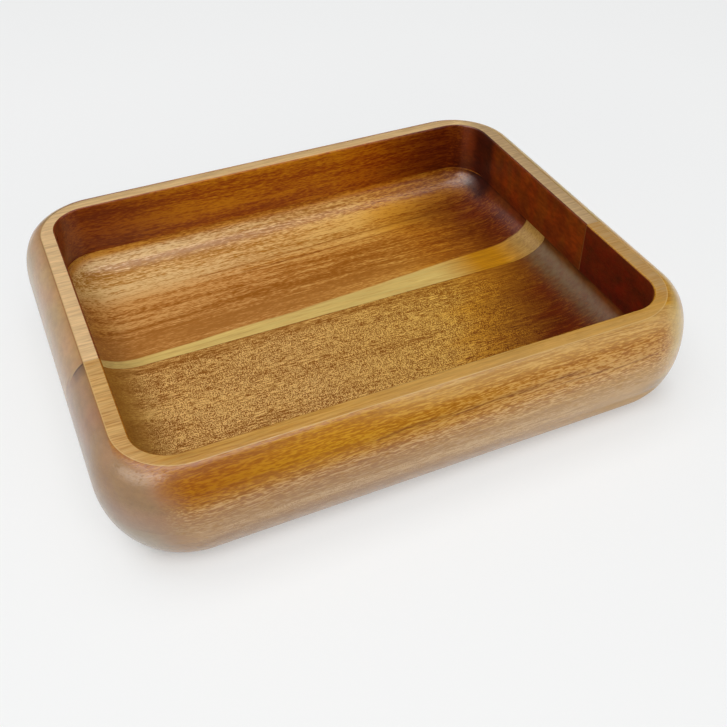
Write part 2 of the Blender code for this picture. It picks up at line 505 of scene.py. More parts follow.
def figure(wood):
    """The tone of the wood, one half on average and higher where it is paler, and what makes it."""
    look = wood.look
    # The grain wanders slowly, and waves gently where the fibres interlock
    grain = wood.vector("ADD", wood.own, nudge(wood, WANDER_GRAINS, WANDER_REACH))
    grain = wood.vector("ADD", grain, nudge(wood, WAVE_GRAINS, look["wave"]))

    # Broad bands of colour, then long fibres, short dashes, streaks and pores
    across = 1 / (2 * look["band"])
    bands = wood.noise(grain, (BAND_GRAINS_ALONG, across, across), BAND_DETAIL, BAND_ROUGHNESS)
    across = FIBRE_GRAINS_ACROSS * look["fineness"]
    fibres = wood.noise(grain, (FIBRE_GRAINS_ALONG, across, across))
    across = DASH_GRAINS_ACROSS * look["fineness"]
    dashes = wood.noise(grain, (DASH_GRAINS_ALONG, across, across), detail=1.0)
    streaks = wood.noise(grain, STREAK_GRAINS, STREAK_DETAIL, STREAK_ROUGHNESS)
    pores = wood.span(wood.noise(grain, PORE_GRAINS, detail=1.0), *PORE_FADE)
    tone = wood.total(
        wood.swing(bands, look["contrast"]),
        0.5,
        wood.swing(fibres, look["fibre"]),
        wood.swing(dashes, look["dash"]),
        wood.swing(streaks, look["streak"]),
    )
    return tone, bands, fibres, pores


WEAVE_SHARE = 0.70
STROKE_GRAINS = (210, 3000, 3000)
STROKE_SWING = 4.2
TICK_GRAINS = (4300, 1900, 1900)
TICK_SWING = 9.0
WEAVE_PATCH_GRAINS = (90, 130, 130)
WEAVE_PATCH_FADE = (0.35, 0.65, 0.35, 1.0)
STROKE_SHARE_BETWEEN_PATCHES = 1.25
STROKE_SHARE_LOST_IN_PATCHES = 0.6
WEAVE_BY_SLOPE = (0.6, 0.98, 0.20, 1.0)
WEAVE_BY_JOINT = (LOWER_JOINT_Y - 0.011, LOWER_JOINT_Y - 0.003, 1.0, 0.15)
WEAVE_AT_LEFT = (-0.102, -0.086, 0.05, 1.0)
WEAVE_AT_RIGHT = (0.040, 0.080, 1.0, 0.12)


def weave(wood):
    """Short strokes along the grain and ticks across it, about zero, open on the flat floor."""
    patches = wood.span(wood.noise(wood.own, WEAVE_PATCH_GRAINS), *WEAVE_PATCH_FADE)
    ticks = wood.swing(wood.noise(wood.own, TICK_GRAINS, detail=0.0), TICK_SWING)
    strokes = wood.swing(wood.noise(wood.own, STROKE_GRAINS, detail=0.0), STROKE_SWING)
    lost = wood.product(patches, STROKE_SHARE_LOST_IN_PATCHES)
    along = wood.product(strokes, wood.less(STROKE_SHARE_BETWEEN_PATCHES, lost))
    both = wood.total(wood.product(ticks, patches), along)
    # They fade on the sides, by the glue joint, and at both ends
    share = wood.product(
        wood.span(wood.facing_z, *WEAVE_BY_SLOPE),
        wood.ramp(wood.y, *WEAVE_BY_JOINT),
        wood.ramp(wood.x, *WEAVE_AT_LEFT),
        wood.ramp(wood.x, *WEAVE_AT_RIGHT),
        WEAVE_SHARE,
    )
    return wood.product(both, share)


CALM_AT_LEFT = (-0.108, -0.088, 0.30, 1.0)
CALM_AT_RIGHT = (0.050, 0.085, 1.0, 0.40)


def woven_tone(wood):
    """The tone of the open board: quiet in the coves at both ends, and woven on its floor."""
    calm = wood.product(wood.ramp(wood.x, *CALM_AT_LEFT), wood.ramp(wood.x, *CALM_AT_RIGHT))
    return wood.total(wood.swing(wood.tone, calm), 0.5, weave(wood))


LINE_CORE = 0.0001
LINE_END_SOFTNESS = 0.006
LINE_WOBBLE_GRAINS = (60, 20, 20)


def with_lines(wood, colour, away, lines):
    """Growth lines side by side, each with its shift, its two ends along the dish, width and tint."""
    for shift, start, stop, width, tint in lines:
        thin = wood.span(wood.size(wood.total(away, shift)), LINE_CORE, width, 1.0, 0.0)
        share = wood.product(thin, wood.band(wood.x, start, stop, LINE_END_SOFTNESS))
        colour = wood.tint(share, colour, tint)
    return colour


AMBER = paint(0.44, 0.19, 0.008)
AMBER_SHARE = 0.40
AMBER_TINT = paint(0.97, 0.88, 0.10)
AMBER_LEFT_TINT = paint(0.78, 0.62, 0.08)
AMBER_EDGE_SWING = 0.006
AMBER_UP = (0.0355, 0.0415)
AMBER_ALONG = (-0.05, 0.05, 1.0, 0.25)
AMBER_AT_RIGHT = (0.095, 0.112, 1.0, 0.0)
AMBER_AT_LEFT = (-0.095, -0.045, 1.0, 0.0)
FACE_LINE_Z = 0.0412
FACE_LINE_WOBBLE = 0.0020
FACE_LINE_TINT = paint(0.66, 0.58, 0.42)
FACE_LINE_GAPS = (0.45, 0.70)
FACE_LINES = (
    (0.0, -0.03, 0.060, 0.0014),
    (0.0028, 0.05, 0.095, 0.0010),
)
# A painted sheen just under the front rim, growing towards the right
UNDER_RIM_SHEEN = paint(0.58, 0.360, 0.115)
UNDER_RIM_SHEEN_UP = (0.0445, 0.0490)
UNDER_RIM_SHEEN_ALONG = (-0.045, 0.005, 0.0, 0.60)
UNDER_RIM_SHEEN_BY_FIBRE = (0.40, 0.60, 0.6, 1.0)
UNTINTED = paint(1, 1, 1)


def mark_upper_front(wood, colour):
    """An amber band under the rim, stronger to the left, broken growth lines, and a painted sheen just under
    the rim towards the right.
    """
    ragged = wood.total(wood.z, wood.swing(wood.fibres, AMBER_EDGE_SWING))
    amber = wood.product(
        wood.span(ragged, *AMBER_UP),
        wood.span(wood.x, *AMBER_ALONG),
        wood.span(wood.x, *AMBER_AT_RIGHT),
    )
    colour = wood.mix(wood.product(amber, AMBER_SHARE), colour, AMBER)
    colour = wood.tint(amber, colour, AMBER_TINT)
    left = wood.product(amber, wood.span(wood.x, *AMBER_AT_LEFT))
    colour = wood.tint(left, colour, AMBER_LEFT_TINT)

    wobble = wood.swing(wood.noise(wood.own, LINE_WOBBLE_GRAINS), FACE_LINE_WOBBLE)
    away = wood.less(wood.less(wood.z, FACE_LINE_Z), wobble)
    dotted = wood.mix(wood.ramp(wood.fibres, *FACE_LINE_GAPS), FACE_LINE_TINT, UNTINTED)
    colour = with_lines(wood, colour, away, [(*line, dotted) for line in FACE_LINES])

    # Painted sheen just under the rim
    under = wood.product(
        wood.span(wood.z, *UNDER_RIM_SHEEN_UP),
        wood.span(wood.x, *UNDER_RIM_SHEEN_ALONG),
        wood.ramp(wood.fibres, *UNDER_RIM_SHEEN_BY_FIBRE),
    )
    return wood.mix(under, colour, UNDER_RIM_SHEEN)


# Painted shade on the back wall: towards its foot and at its left end
BACK_WALL_FOOT_SHADE = paint(0.78, 0.62, 0.50)
BACK_WALL_FOOT_SHADE_UP = (0.026, 0.044, 0.6, 0.0)
BACK_WALL_LEFT_SHADE = paint(0.45, 0.20, 0.05)
BACK_WALL_LEFT_SHADE_ALONG = (-0.095, -0.030, 0.9, 0.0)


def mark_upper_back(wood, colour):
    """Painted shade towards the foot of the wall and at its left end."""
    # Painted shade, deepest at the wall's foot and at its left end
    colour = wood.tint(wood.span(wood.z, *BACK_WALL_FOOT_SHADE_UP), colour, BACK_WALL_FOOT_SHADE)
    return wood.tint(wood.span(wood.x, *BACK_WALL_LEFT_SHADE_ALONG), colour, BACK_WALL_LEFT_SHADE)


LEFT_SHADE = paint(0.80, 0.68, 0.22)
LEFT_SHADE_ALONG = (-0.110, -0.092, 1.0, 0.0)
LEFT_SHADE_BACK = (0.025, 0.055, 1.0, 0.45)


def mark_lower_front(wood, colour):
    """A darker left end."""
    return wood.tint(wood.span(wood.x, *LEFT_SHADE_ALONG), colour, LEFT_SHADE)


NEAR_SEAM = paint(0.54, 0.24, 0.054)
NEAR_SEAM_BACK = (0.020, 0.036, 0.3, 0.0)
# Paler wood at the back with a painted sheen, strongest at the left
PALE_BACK_AND_SHEEN = paint(1.16, 1.53, 2.30)
PALE_BACK_BACK = (0.048, 0.066)
PALE_BACK_ALONG = (-0.06, 0.07, 1.0, 0.30)
FLOOR_LINE_Y = 0.0592
FLOOR_LINE_SLOPE = 0.028
FLOOR_LINE_WOBBLE = 0.0012
FLOOR_LINE_TINT = paint(0.66, 0.54, 0.36)
BETWEEN_LINES_TINT = paint(1.12, 1.16, 1.22)
FLOOR_LINES = (
    (0.0, -0.050, 0.078, 0.0011, FLOOR_LINE_TINT),
    (0.0034, -0.040, 0.070, 0.0017, BETWEEN_LINES_TINT),
    (0.0056, -0.030, 0.065, 0.0008, FLOOR_LINE_TINT),
)


def mark_lower_back(wood, colour):
    """Painted shade at the left end, darker by the seam, paler at the back with a painted sheen, and two
    growth lines on the floor.
    """
    left = wood.product(wood.span(wood.x, *LEFT_SHADE_ALONG), wood.span(wood.y, *LEFT_SHADE_BACK))
    colour = wood.tint(left, colour, LEFT_SHADE)
    colour = wood.mix(wood.span(wood.y, *NEAR_SEAM_BACK), colour, NEAR_SEAM)
    # Paler wood and painted sheen at the back
    back = wood.product(wood.span(wood.y, *PALE_BACK_BACK), wood.ramp(wood.x, *PALE_BACK_ALONG))
    colour = wood.tint(back, colour, PALE_BACK_AND_SHEEN)
    wobble = wood.swing(wood.noise(wood.own, LINE_WOBBLE_GRAINS), FLOOR_LINE_WOBBLE)
    climb = wood.total(wood.product(wood.x, FLOOR_LINE_SLOPE), wobble)
    away = wood.less(wood.less(wood.y, FLOOR_LINE_Y), climb)
    return with_lines(wood, colour, away, FLOOR_LINES)


# What lies inside the walls, seen from the middle: up to the long sides, and up to the ends
INSIDE_SIDES = (0.086, 0.088, 1.0, 0.0)
INSIDE_ENDS = (0.112, 0.114, 1.0, 0.0)

# Painted shade of the right wall: inside the dish the wood turns darker and redder towards its right end
SHADED_RIGHT_TINT = paint(0.190, 0.047, 0.010)
SHADED_RIGHT_UNEVEN = 0.045
SHADED_RIGHT_SLANT_START = -0.03
SHADED_RIGHT_BACK = (0.062, 0.078)
SHADED_RIGHT_BY_FIBRE = (0.50, 0.66, 1.0, 0.88)
SHADED_RIGHT_SHOULDER_TINT = paint(1.0, 0.84, 0.36)
SHADED_RIGHT_SHOULDER_WIDTH = 0.028
RIGHT_WARMTH = paint(0.99, 0.96, 0.50)
RIGHT_WARMTH_ALONG = (-0.03, 0.06)


def with_shaded_right_end(wood, colour):
    """Painted shade of the right wall over redder wood: darker and redder towards the right end, inside the
    dish.
    """
    start, full, most = wood.look["shaded_right"]
    slant = wood.product(wood.less(wood.y, SHADED_RIGHT_SLANT_START), wood.look["shaded_right_slant"])
    along = wood.less(wood.total(wood.x, wood.swing(wood.bands, SHADED_RIGHT_UNEVEN)), slant)
    inside = wood.span(wood.size(wood.y), *INSIDE_SIDES)
    warm = wood.product(wood.ramp(wood.x, *RIGHT_WARMTH_ALONG), inside)
    colour = wood.tint(warm, colour, RIGHT_WARMTH)
    shoulder = wood.product(wood.span(along, start, start + SHADED_RIGHT_SHOULDER_WIDTH), inside)
    colour = wood.tint(shoulder, colour, SHADED_RIGHT_SHOULDER_TINT)
    # The painted shade grows towards the right end and stays inside the walls
    share = wood.product(
        wood.span(along, start, full, 0.0, most),
        wood.span(wood.y, *SHADED_RIGHT_BACK, 1.0, wood.look["shaded_right_back_share"]),
        inside,
        wood.ramp(wood.fibres, *SHADED_RIGHT_BY_FIBRE),
    )
    return wood.tint(share, colour, SHADED_RIGHT_TINT)


# Oil in the crease at the top of the cove, darkened further as painted shade
CREASE_OIL_AND_SHADE = paint(0.76, 0.52, 0.14)
CREASE_UP = (0.0205, 0.0228)
CREASE_ALONG = (0.05, 0.09, 1.0, 0.1)


def with_crease(wood, colour):
    """Oil gathered in the crease at the top of the cove, darkened further by painted shade."""
    # Oil and painted shade in the crease
    share = wood.product(
        wood.span(wood.size(wood.x), *INSIDE_ENDS),
        wood.span(wood.size(wood.y), *INSIDE_SIDES),
        wood.span(wood.z, *CREASE_UP),
        wood.ramp(wood.x, *CREASE_ALONG),
    )
    return wood.tint(share, colour, CREASE_OIL_AND_SHADE)


# A painted pale sheen low on the outer sides, where they face the floor
LOW_SIDE_SHEEN = paint(0.93, 1.05, 1.70)
PLAIN_SIDE = paint(0.37, 0.205, 0.078)
PLAIN_SIDE_RIGHT = paint(0.53, 0.325, 0.125)
PLAIN_SIDE_SHARE = 0.60
PLAIN_SIDE_ALONG = (-0.03, 0.09)
SIDE_BY_SLOPE = (0.2, 0.7)
LOW_SIDE_UP = (0.024, 0.040, 1.0, 0.0)
PALER_FACE = paint(1.12, 1.16, 1.12)
PALER_FACE_UP = (0.029, 0.0385, 0.0010)
PALER_FACE_ALONG = (-0.03, 0.02)
# Painted shade low on the front at the left, near the base
LOW_LEFT_SHADE = paint(0.86, 0.84, 0.80)
LOW_LEFT_SHADE_UP = (0.0155, 0.0215, 1.0, 0.0)
LOW_LEFT_SHADE_ALONG = (0.02, 0.06, 1.0, 0.0)


def with_sides(wood, colour):
    """The long outer sides, greyer with a painted sheen and plainer towards the base, and with painted shade
    low at the left.
    """
    outside = wood.span(wood.outward_y, *SIDE_BY_SLOPE)
    # Painted sheen of the floor, paler and bluer towards the base
    low = wood.product(outside, wood.span(wood.z, *LOW_SIDE_UP))
    colour = wood.tint(low, colour, LOW_SIDE_SHEEN)
    plain = wood.mix(wood.ramp(wood.x, *PLAIN_SIDE_ALONG), PLAIN_SIDE, PLAIN_SIDE_RIGHT)
    colour = wood.mix(wood.product(low, PLAIN_SIDE_SHARE), colour, plain)
    paler = wood.product(
        wood.band(wood.z, *PALER_FACE_UP),
        outside,
        wood.ramp(wood.x, *PALER_FACE_ALONG),
    )
    colour = wood.tint(paler, colour, PALER_FACE)
    # Painted shade low at the left, near the base
    foot = wood.product(
        wood.span(wood.z, *LOW_LEFT_SHADE_UP),
        outside,
        wood.span(wood.x, *LOW_LEFT_SHADE_ALONG),
    )
    return wood.tint(foot, colour, LOW_LEFT_SHADE)


OUTER_END_SHARE = 0.90
OUTER_END_BY_SLOPE = (0.12, 0.55, 0.0, OUTER_END_SHARE)
RIM_END_X = DISH_LENGTH / 2 - SIDE_SWELL
LIP_WIDTH = 0.0012
BACK_CORNER_BY_SLOPE = (0.02, 0.22)
BACK_CORNER_BACK = (0.050, 0.075)
LEFT_TO_RIGHT = (-0.02, 0.02)
RIGHT_END = paint(0.62, 0.385, 0.125)
PINKER = paint(1.05, 0.95, 0.97)
YELLOWER = paint(0.97, 1.04, 0.98)
END_HUE_GRAINS = (60, 45, 70)
END_HUE_FADE = (0.38, 0.62)
END_PATCH_GRAINS = (60, 90, 140)
END_PATCH_FADE = (0.35, 0.65, 0.75, 1.25)
END_STREAK_GRAINS = (300, 260, 600)
END_STREAK_ROUGHNESS = 0.6
END_STREAK_FADE = (0.35, 0.65, 0.80, 1.20)
OUTER_MOTTLE = (0.6, 1.4, 0.87, 1.13)
# A painted grey sheen under the left end's swell, where it faces the floor
LEFT_END_SHEEN = paint(0.31, 0.26, 0.19)
LEFT_END_SHEEN_BY_SLOPE = (0.3, 0.7)
LEFT_END_SHEEN_BY_FACING_DOWN = (-0.30, 0.25, 0.65, 0.0)


def with_outer_ends(wood, colour, mottle):
    """End grain outside: greyer at the left, tan at the right, with a painted grey sheen under the left
    end's swell.
    """
    outside = wood.span(wood.outward_x, *OUTER_END_BY_SLOPE)
    lip = wood.span(wood.size(wood.x), RIM_END_X, RIM_END_X + LIP_WIDTH, 0.0, OUTER_END_SHARE)
    back_corner = wood.product(
        wood.span(wood.outward_x, *BACK_CORNER_BY_SLOPE),
        wood.span(wood.y, *BACK_CORNER_BACK),
        OUTER_END_SHARE,
    )
    outside = wood.most(wood.most(outside, lip), back_corner)
    right = wood.span(wood.x, *LEFT_TO_RIGHT)
    end_colour = wood.mix(right, wood.look["outer_end"], RIGHT_END)
    hue = wood.ramp(wood.noise(wood.own, END_HUE_GRAINS, detail=1.0), *END_HUE_FADE)
    end_colour = wood.tint(1.0, end_colour, wood.mix(hue, PINKER, YELLOWER))
    end_colour = wood.scale(end_colour, wood.ramp(mottle, *OUTER_MOTTLE))
    colour = wood.mix(outside, colour, end_colour)
    # Painted grey sheen of the floor under the left end's swell
    grey_sheen = wood.product(
        wood.span(wood.outward_x, *LEFT_END_SHEEN_BY_SLOPE),
        wood.span(wood.facing_z, *LEFT_END_SHEEN_BY_FACING_DOWN),
        wood.less(1.0, right),
    )
    return wood.mix(grey_sheen, colour, LEFT_END_SHEEN)


BROWNER_OIL = paint(0.95, 1.15, 1.5)
REDDER_OIL = paint(1.05, 0.93, 1.0)
OIL_HUE_GRAINS = (45, 120, 60)
OIL_HUE_FADE = (0.40, 0.60)
FAR_END_BY_SLOPE = (0.25, 0.50)
FAR_END_ALONG = (0.0, 0.05)
# Painted shade in the far inner corner and along the foot of the right wall
CORNER_SHADE = paint(0.28, 0.22, 0.60)
CORNER_SHADE_BACK = (0.0590, 0.0765, 0.0040)
RIGHT_WALL_FOOT_SHADE = paint(0.72, 0.62, 0.50)
RIGHT_WALL_FOOT_SHADE_UP = (0.0275, 0.0330, 0.9, 0.0)
RIGHT_WALL_FOOT_SHADE_START = (0.0235, 0.0245)


def with_inner_ends(wood, colour, mottle):
    """End grain inside: dark with oil, with painted shade beside the far corner and along the wall's foot.
    """
    redder = wood.ramp(wood.noise(wood.own, OIL_HUE_GRAINS, detail=1.0), *OIL_HUE_FADE)
    end_colour = wood.tint(1.0, wood.look["inner_end"], wood.mix(redder, BROWNER_OIL, REDDER_OIL))
    colour = wood.mix(wood.dry, colour, wood.scale(end_colour, mottle))
    far = wood.product(wood.span(wood.inward_x, *FAR_END_BY_SLOPE), wood.span(wood.x, *FAR_END_ALONG))
    # Painted shade at the foot of the right wall and in the far corner
    foot = wood.product(
        wood.span(wood.z, *RIGHT_WALL_FOOT_SHADE_UP),
        far,
        wood.span(wood.z, *RIGHT_WALL_FOOT_SHADE_START),
    )
    colour = wood.tint(foot, colour, RIGHT_WALL_FOOT_SHADE)
    corner = wood.product(wood.band(wood.y, *CORNER_SHADE_BACK), far)
    return wood.tint(corner, colour, CORNER_SHADE)


def with_ends(wood, colour):
    """End grain, mottled outside and inside alike."""
    patches = wood.ramp(wood.noise(wood.own, END_PATCH_GRAINS), *END_PATCH_FADE)
    streaks = wood.noise(wood.own, END_STREAK_GRAINS, roughness=END_STREAK_ROUGHNESS)
    mottle = wood.product(patches, wood.ramp(streaks, *END_STREAK_FADE))
    return with_inner_ends(wood, with_outer_ends(wood, colour, mottle), mottle)


SAPWOOD = paint(0.67, 0.468, 0.135)
SAPWOOD_WIDTH_LEFT = 0.0045
SAPWOOD_WIDTH_MIDDLE = 0.0079
SAPWOOD_WIDTH_RIGHT = 0.0172
SAPWOOD_MIDDLE_X = -0.015
SAPWOOD_RIGHT_X = 0.102
SAPWOOD_UNEVEN_GRAINS = (25, 60, 60)
SAPWOOD_UNEVEN = 0.003
SAPWOOD_EDGE = (-0.0006, 0.0006, 1.0, 0.0)
SAPWOOD_BEYOND_ENDS = (0.113, 0.115, 1.0, 0.35)
SAPWOOD_STREAK_GRAINS = (30, 380, 380)
SAPWOOD_STREAK_FADE = (0.30, 0.70, 0.90, 1.10)
SAPWOOD_FIBRE_FADE = (0.35, 0.65, 0.30, 0.0)
SAPWOOD_AMBER = paint(0.76, 0.45, 0.03)
SAPWOOD_AMBER_ALONG = (0.066, 0.102, 0.014)
SAPWOOD_AMBER_UP = (0.0155, 0.0175, 1.0, 0.0)
SAPWOOD_TAN = paint(0.62, 0.51, 0.42)
SAPWOOD_TAN_ALONG = (0.092, 0.104)


def with_sapwood(wood, colour):
    """The pale outer wood that follows the glue joint, wider towards the right end."""
    widths = (SAPWOOD_WIDTH_LEFT, SAPWOOD_WIDTH_MIDDLE)
    width = wood.ramp(wood.x, LOW.x, SAPWOOD_MIDDLE_X, *widths)
    more = SAPWOOD_WIDTH_RIGHT - SAPWOOD_WIDTH_MIDDLE
    widening = wood.ramp(wood.x, SAPWOOD_MIDDLE_X, SAPWOOD_RIGHT_X, 0.0, more)
    uneven = wood.swing(wood.noise(wood.own, SAPWOOD_UNEVEN_GRAINS), SAPWOOD_UNEVEN)
    edge = wood.total(width, widening, uneven, LOWER_JOINT_Y)
    outer_wood = wood.product(
        wood.span(wood.less(wood.y, edge), *SAPWOOD_EDGE),
        wood.span(wood.size(wood.x), *SAPWOOD_BEYOND_ENDS),
    )
    lively = wood.ramp(wood.noise(wood.own, SAPWOOD_STREAK_GRAINS), *SAPWOOD_STREAK_FADE)
    pale = wood.mix(wood.ramp(wood.fibres, *SAPWOOD_FIBRE_FADE), wood.scale(SAPWOOD, lively), colour)
    amber = wood.product(wood.band(wood.x, *SAPWOOD_AMBER_ALONG), wood.span(wood.z, *SAPWOOD_AMBER_UP))
    pale = wood.tint(amber, pale, SAPWOOD_AMBER)
    pale = wood.tint(wood.span(wood.x, *SAPWOOD_TAN_ALONG), pale, SAPWOOD_TAN)
    return wood.mix(outer_wood, colour, pale)


# A painted reflection in the right cove
COVE_REFLECTION = paint(0.150, 0.090, 0.034)
COVE_REFLECTION_BACK = (-0.070, -0.010, 0.45, 0.90)
COVE_REFLECTION_UP = (0.0163, 0.0222, 0.0014)
COVE_REFLECTION_ALONG = (0.085, 0.100)
COVE_REFLECTION_GRAINS = (250, 400, 400)
COVE_REFLECTION_FADE = (0.35, 0.65, 0.55, 1.0)


def with_cove_reflection(wood, colour):
    """A painted greyish reflection in the right cove, next to the glue joint."""
    # Painted reflection, mottled, in the right cove's lower band
    share = wood.product(
        wood.ramp(wood.y, *COVE_REFLECTION_BACK),
        wood.band(wood.z, *COVE_REFLECTION_UP),
        wood.span(wood.x, *COVE_REFLECTION_ALONG),
        wood.span(wood.x, *INSIDE_ENDS),
        wood.ramp(wood.noise(wood.own, COVE_REFLECTION_GRAINS), *COVE_REFLECTION_FADE),
    )
    return wood.mix(share, colour, COVE_REFLECTION)


GLUE_LINE = 0.00025
GLUE_TINT = paint(0.55, 0.45, 0.40)
GLUE_LINE_ALONG = (-0.1190, -0.1175)


def with_glue_line(wood, colour):
    """The glue line, which doesn't show on the upper layer's left shoulder."""
    upper = wood.board.startswith("upper")
    from_joint = wood.less(wood.y, UPPER_JOINT_Y if upper else LOWER_JOINT_Y)
    line = wood.span(wood.size(from_joint), 0.0, GLUE_LINE, 1.0, 0.0)
    if upper:
        line = wood.product(line, wood.span(wood.x, *GLUE_LINE_ALONG))
    return wood.tint(line, colour, GLUE_TINT)


WALL_SEAM = paint(0.26, 0.09, 0.02)
WALL_SEAM_BACK = (0.0003, 0.0007, 0.8, 0.0)
RIGHT_WALL_BY_FACING = (-0.9, -0.6, 1.0, 0.0)
JOINT_MARK_START = 0.1167
JOINT_MARK_SLANT_SHARE = 0.42
BACK_SHOULDER = paint(0.385, 0.220, 0.078)
BACK_SHOULDER_EDGE = (-0.0003, 0.0002, 1.0, 0.0)
BACK_SHOULDER_START = (0.0004, 0.0012)
BACK_SHOULDER_END = (0.0055, 0.0085, 0.85, 0.0)
JOINT_SHADE = paint(0.30, 0.24, 0.18)
JOINT_SHADE_SOFT = (0.0012, 0.0095, 0.60, 0.0)
JOINT_SHADE_DEEP = (0.0004, 0.0022, 1.0, 0.0)
JOINT_SHADE_EDGE = (-0.0003, 0.0003)
JOINT_SHADE_OUT = (0.0002, 0.0052, 0.0008)


def with_joint_marks(wood, colour):
    """The pale seam on the right wall, and the shade that runs from the joint over the left shoulder."""
    ahead = wood.less(UPPER_JOINT_Y, wood.y)
    seam = wood.product(
        wood.span(wood.size(ahead), *WALL_SEAM_BACK),
        wood.span(wood.facing_x, *RIGHT_WALL_BY_FACING),
    )
    colour = wood.mix(seam, colour, WALL_SEAM)
    # The shade leaves the joint at the rim, and its edge slants forwards on its way out
    out = wood.less(-JOINT_MARK_START, wood.x)
    front = wood.less(ahead, wood.product(out, JOINT_MARK_SLANT_SHARE))
    behind = wood.product(
        wood.span(front, *BACK_SHOULDER_EDGE),
        wood.span(out, *BACK_SHOULDER_START),
        wood.span(out, *BACK_SHOULDER_END),
    )
    colour = wood.mix(behind, colour, BACK_SHOULDER)
    shade = wood.product(
        wood.most(wood.span(front, *JOINT_SHADE_SOFT), wood.span(front, *JOINT_SHADE_DEEP)),
        wood.span(front, *JOINT_SHADE_EDGE),
        wood.band(out, *JOINT_SHADE_OUT),
    )
    return wood.tint(shade, colour, JOINT_SHADE)


# The rim's colours are sanded wood with a painted sheen, paler still at the left end
RIM_WEAR_AND_SHEEN_SHARE = 0.95
RIM_TOP_UP = (DISH_HEIGHT - RIM_EDGE_ROUND, DISH_HEIGHT - RIM_EDGE_ROUND / 4)
RIM_BY_FACING_UP = (0.980, 0.996)
RIM_LEFT_ALONG = (-0.113, -0.100, 1.0, 0.0)
RIM_RIGHT = paint(0.42, 0.280, 0.145)
RIM_RIGHT_ALONG = (0.106, 0.114, 0.0, 0.6)
RIM_STREAK_GRAINS = (45, 700, 700)
RIM_STREAK_FADE = (0.30, 0.70, 0.84, 1.14)
RIM_LINE_FADE = (0.35, 0.60)
EDGE_SHINE = paint(0.66, 0.44, 0.17)
EDGE_SHINE_SHARE = 0.55
EDGE_BY_FACING_UP = (0.981, 0.993, 0.003)


def with_rim(wood, colour):
    """The flat rim, sanded paler than the sides and given a painted sheen, with a painted highlight along
    its outer edge.
    """
    look = wood.look
    rim = wood.mix(wood.span(wood.x, *RIM_LEFT_ALONG), look["rim"], look["rim_left"])
    rim = wood.mix(wood.span(wood.x, *RIM_RIGHT_ALONG), rim, RIM_RIGHT)
    streaks = wood.ramp(wood.noise(wood.own, RIM_STREAK_GRAINS), *RIM_STREAK_FADE)
    lines = wood.ramp(wood.fibres, *RIM_LINE_FADE, look["rim_line_share"], 0.0)
    worn_and_sheen = wood.mix(lines, wood.scale(rim, streaks), colour)
    top = wood.span(wood.z, *RIM_TOP_UP)
    flat = wood.product(wood.span(wood.facing_z, *RIM_BY_FACING_UP), top, RIM_WEAR_AND_SHEEN_SHARE)
    colour = wood.mix(flat, colour, worn_and_sheen)
    # Painted highlight along the rim's outer edge
    edge = wood.product(wood.band(wood.facing_z, *EDGE_BY_FACING_UP), top, EDGE_SHINE_SHARE)
    return wood.mix(edge, colour, EDGE_SHINE)


# What is laid over each board's figure, from first to last
LAYERS = {
    "upper_front_board": (
        mark_upper_front, with_shaded_right_end, with_sides, with_ends, with_glue_line, with_joint_marks, with_rim,
    ),
    "upper_back_board": (
        mark_upper_back, with_shaded_right_end, with_sides, with_ends, with_glue_line, with_rim,
    ),
    "lower_front_board": (
        mark_lower_front, with_shaded_right_end, with_crease, with_sides, with_ends, with_cove_reflection, with_glue_line,
    ),
    "lower_back_board": (
        mark_lower_back, with_shaded_right_end, with_crease, with_sides, with_ends, with_sapwood, with_glue_line,
    ),
}
DARK_TO_MIDDLE = (0.20, 0.50)
MIDDLE_TO_PALE = (0.50, 0.80)

ROUGHNESS = 0.40
ROUGHNESS_OF_FIBRES = 0.12
ROUGHNESS_OF_PORES = 0.15
ROUGHNESS_OF_DRY_ENDS = 0.25
SHEEN_LEVEL = 0.1
COAT_IOR = 1.6
COAT_ROUGHNESS = 0.24
COAT_OVER_PORES = (0.0, 1.0, 1.0, 0.4)
COAT_OVER_DRY_ENDS = (0.0, 1.0, 1.0, 0.05)
DRY_COAT_ALONG = (0.0, 0.08)
SOAKED_FLOOR_ALONG = (0.03, 0.08)
SOAKED_FLOOR_UP = (0.0155, 0.0180, 0.75, 0.0)
DULL_AMBER_SHARE = 0.60
DULL_AMBER_UP = (0.036, 0.0500, 0.002)
DULL_AMBER_ALONG = (0.0, 0.08, 1.0, 0.3)
DULL_AMBER_AT_LEFT = (-0.112, -0.095)
DULL_AMBER_ON_SIDE = (-0.0965, -0.0930, 1.0, 0.0)
GRAIN_DEPTH = 0.00003
GRAIN_STRENGTH = 0.6


def dull_amber(wood):
    """How dull the amber band is under the front rim."""
    return wood.product(
        wood.band(wood.z, *DULL_AMBER_UP),
        DULL_AMBER_SHARE,
        wood.span(wood.x, *DULL_AMBER_ALONG),
        wood.span(wood.x, *DULL_AMBER_AT_LEFT),
        wood.span(wood.y, *DULL_AMBER_ON_SIDE),
    )


